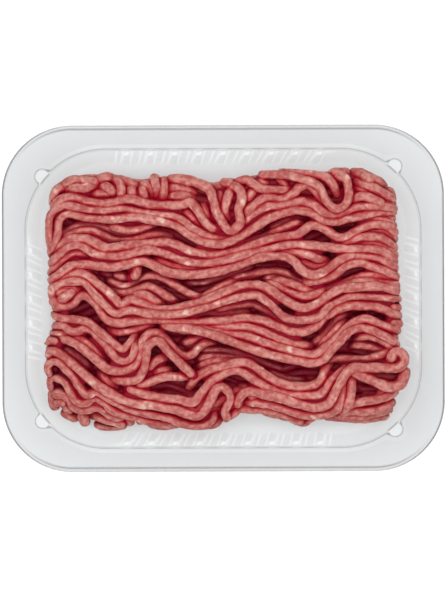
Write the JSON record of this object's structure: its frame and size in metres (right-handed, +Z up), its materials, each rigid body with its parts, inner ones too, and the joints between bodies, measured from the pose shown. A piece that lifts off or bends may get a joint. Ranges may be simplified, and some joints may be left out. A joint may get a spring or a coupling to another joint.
{
  "type": "meat tray pack",
  "caption": "Clear rigid plastic tray with a flat rim and ribbed walls, holding a block of raw minced meat laid in wavy strands.",
  "frame": {"origin": "on the ground under the middle of the tray", "axes": "+X along the tray's long side, +Y along its short side, +Z up out of its mouth"},
  "size_m": [0.227, 0.178, 0.04],
  "materials": {
    "clear_plastic": "clear, glossy, thin formed sheet",
    "raw_mince": "raw minced meat, moist, pink-red strands with pale fat specks"
  },
  "bodies": {
    "root": {"tray": "clear_plastic", "mince": "raw_mince"}
  },
  "joints": []
}
